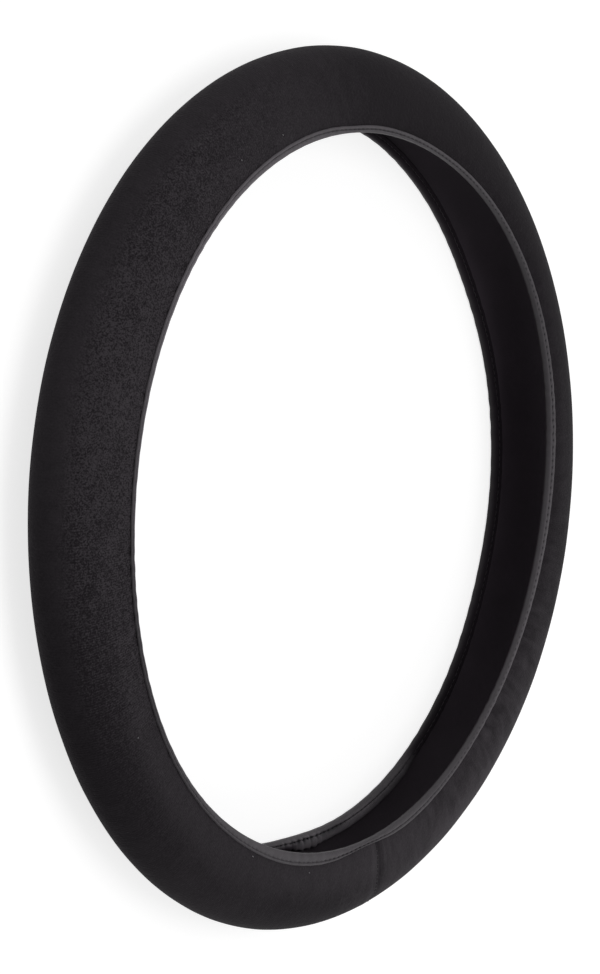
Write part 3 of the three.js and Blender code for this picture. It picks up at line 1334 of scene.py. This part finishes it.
# Soft lamps, each as (place in m, share of the lamp power)
LAMPS = {
    "back_lamp": ((0.1, 1.4, 0.8), 0.4),
    "seam_side_lamp": ((0.2, -1.3, 0.8), 0.4),
    "top_lamp": ((0.1, 0.1, 1.8), 0.65),
}
FLOOR_COLOUR = 0.45
FLOOR_GLOW = 0.75


def seen_rays(tree):
    """1 for the rays that show a backdrop as it is: camera, glossy and transmission rays."""
    path = add_node(tree, "ShaderNodeLightPath")
    seen = math_node(tree, "MAXIMUM", path.outputs["Is Camera Ray"], path.outputs["Is Glossy Ray"])
    return math_node(tree, "MAXIMUM", seen, path.outputs["Is Transmission Ray"])


def floor_material():
    material = bpy.data.materials.new("studio_floor")
    material.use_nodes = True
    tree = material.node_tree
    shader = tree.nodes["Principled BSDF"]
    plain = (FLOOR_COLOUR, FLOOR_COLOUR, FLOOR_COLOUR, 1)
    set_inputs(shader, Base_Color=plain, Roughness=1.0, Specular_IOR_Level=0.0)
    shader.inputs["Emission Color"].default_value = (1, 1, 1, 1)
    glow = math_node(tree, "MULTIPLY", seen_rays(tree), FLOOR_GLOW)
    tree.links.new(glow, shader.inputs["Emission Strength"])
    return material


def make_floor():
    mesh = bpy.data.meshes.new("studio_floor")
    corners = [(-1, -1), (1, -1), (1, 1), (-1, 1)]
    points = [(x * FLOOR_HALF, y * FLOOR_HALF, 0) for x, y in corners]
    mesh.from_pydata(points, [], [(0, 1, 2, 3)])
    mesh.materials.append(floor_material())
    floor = bpy.data.objects.new("studio_floor", mesh)
    bpy.context.scene.collection.objects.link(floor)


def make_sky():
    world = bpy.data.worlds.new("studio_sky")
    bpy.context.scene.world = world
    world.use_nodes = True
    tree = world.node_tree
    background = tree.nodes["Background"]
    background.inputs["Color"].default_value = (1, 1, 1, 1)
    plain = studio().sky_strength
    strength = math_node(tree, "MULTIPLY_ADD", seen_rays(tree), 1 - plain, plain)
    tree.links.new(strength, background.inputs["Strength"])


def make_lamps():
    for name, (place, share) in LAMPS.items():
        lamp = bpy.data.lights.new(name, "AREA")
        lamp.shape = "DISK"
        lamp.size = LAMP_SIZE
        lamp.energy = studio().lamp_power * share
        holder = bpy.data.objects.new(name, lamp)
        bpy.context.scene.collection.objects.link(holder)
        holder.location = place
        holder.rotation_mode = "QUATERNION"
        holder.rotation_quaternion = (-Vector(place)).to_track_quat("-Z", "Y")


def make_camera():
    stage = studio()
    level = math.cos(stage.camera_elevation)
    back = Vector(
        (
            level * math.cos(stage.camera_azimuth),
            level * math.sin(stage.camera_azimuth),
            math.sin(stage.camera_elevation),
        )
    )
    centre = Vector((0, 0, MIDDLE_HEIGHT * MM))
    place = centre + back * stage.camera_distance
    forward = (centre + AIM_FROM_CENTRE - place).normalized()
    level_right = forward.cross(Vector((0, 0, 1))).normalized()
    level_up = level_right.cross(forward)
    up = level_up * math.cos(stage.camera_roll) + level_right * math.sin(stage.camera_roll)
    right = forward.cross(up)
    data = bpy.data.cameras.new("camera")
    data.lens = stage.lens
    data.sensor_width = SENSOR_WIDTH
    camera = bpy.data.objects.new("camera", data)
    bpy.context.scene.collection.objects.link(camera)
    turned = Matrix((right, up, -forward)).transposed()
    camera.matrix_world = Matrix.Translation(place) @ turned.to_4x4()
    bpy.context.scene.camera = camera


# Operators


class COVER_OT_stage(bpy.types.Operator):
    """Make the floor, the sky, the lamps and the camera"""

    bl_idname = "cover.stage"
    bl_label = "Make Stage"

    def execute(self, context):
        context.scene.view_settings.view_transform = "Standard"
        make_camera()
        make_floor()
        make_sky()
        make_lamps()
        return {"FINISHED"}


class COVER_OT_velour_skin(bpy.types.Operator):
    """Make the velour skin with its cross seam"""

    bl_idname = "cover.velour_skin"
    bl_label = "Make Velour Skin"

    def execute(self, context):
        skin = make_skin()
        return {"FINISHED"}


class COVER_OT_anti_slip_ring(bpy.types.Operator):
    """Make the rubber ring inside the skin"""

    bl_idname = "cover.anti_slip_ring"
    bl_label = "Make Anti-slip Ring"

    def execute(self, context):
        make_rubber()
        return {"FINISHED"}


class COVER_OT_edge_tapes(bpy.types.Operator):
    """Make the tape round each mouth edge"""

    bl_idname = "cover.edge_tapes"
    bl_label = "Make Edge Tapes"

    def execute(self, context):
        make_tape("front_edge_tape", True, ["front_binding"])
        make_tape("rear_edge_tape", False, ["rear_binding"])
        return {"FINISHED"}


class COVER_OT_edge_stitches(bpy.types.Operator):
    """Make the needle and bobbin threads of both edge seams"""

    bl_idname = "cover.edge_stitches"
    bl_label = "Make Edge Stitches"

    def execute(self, context):
        for side, front in (("front", True), ("rear", False)):
            needle, bobbin = f"{side}_needle_thread", f"{side}_bobbin_thread"
            make_edge_thread(f"{side}_needle_stitches", NEEDLE_GROOVE, front, [needle])
            make_edge_thread(f"{side}_bobbin_stitches", BOBBIN_GROOVE, front, [bobbin])
        return {"FINISHED"}


class COVER_OT_cross_seam(bpy.types.Operator):
    """Make the ladder of stitches across the seam of the skin"""

    bl_idname = "cover.cross_seam"
    bl_label = "Make Cross Seam Stitches"

    def execute(self, context):
        make_lacing()
        return {"FINISHED"}


class COVER_OT_lint(bpy.types.Operator):
    """Make the few specks of lint that lie on the velour"""

    bl_idname = "cover.lint"
    bl_label = "Make Lint"

    def execute(self, context):
        make_lint()
        return {"FINISHED"}


OPERATORS = (
    COVER_OT_stage,
    COVER_OT_velour_skin,
    COVER_OT_anti_slip_ring,
    COVER_OT_edge_tapes,
    COVER_OT_edge_stitches,
    COVER_OT_cross_seam,
    COVER_OT_lint,
)


class COVER_PT_panel(bpy.types.Panel):
    """Sizes, colours and steps of the wheel cover"""

    bl_idname = "COVER_PT_panel"
    bl_label = "Wheel Cover"
    bl_space_type = "VIEW_3D"
    bl_region_type = "UI"
    bl_category = "Wheel Cover"

    def draw(self, context):
        for group in (sizes(), colours(), studio()):
            box = self.layout.box()
            for name in group.bl_rna.properties.keys():
                if name not in {"rna_type", "name"}:
                    box.prop(group, name)
        for operator in OPERATORS:
            self.layout.operator(operator.bl_idname)


GROUPS = (CoverSizes, CoverColours, CoverStage)


def register():
    for kind in (*GROUPS, *OPERATORS, COVER_PT_panel):
        bpy.utils.register_class(kind)
    bpy.types.Scene.cover_sizes = PointerProperty(type=CoverSizes)
    bpy.types.Scene.cover_colours = PointerProperty(type=CoverColours)
    bpy.types.Scene.cover_stage = PointerProperty(type=CoverStage)


def unregister():
    del bpy.types.Scene.cover_sizes
    del bpy.types.Scene.cover_colours
    del bpy.types.Scene.cover_stage
    for kind in reversed((*GROUPS, *OPERATORS, COVER_PT_panel)):
        bpy.utils.unregister_class(kind)


def main():
    register()
    bpy.ops.cover.stage()
    bpy.ops.cover.velour_skin()
    bpy.ops.cover.anti_slip_ring()
    bpy.ops.cover.edge_tapes()
    bpy.ops.cover.edge_stitches()
    bpy.ops.cover.cross_seam()
    bpy.ops.cover.lint()
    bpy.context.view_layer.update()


if __name__ == "__main__":
    main()
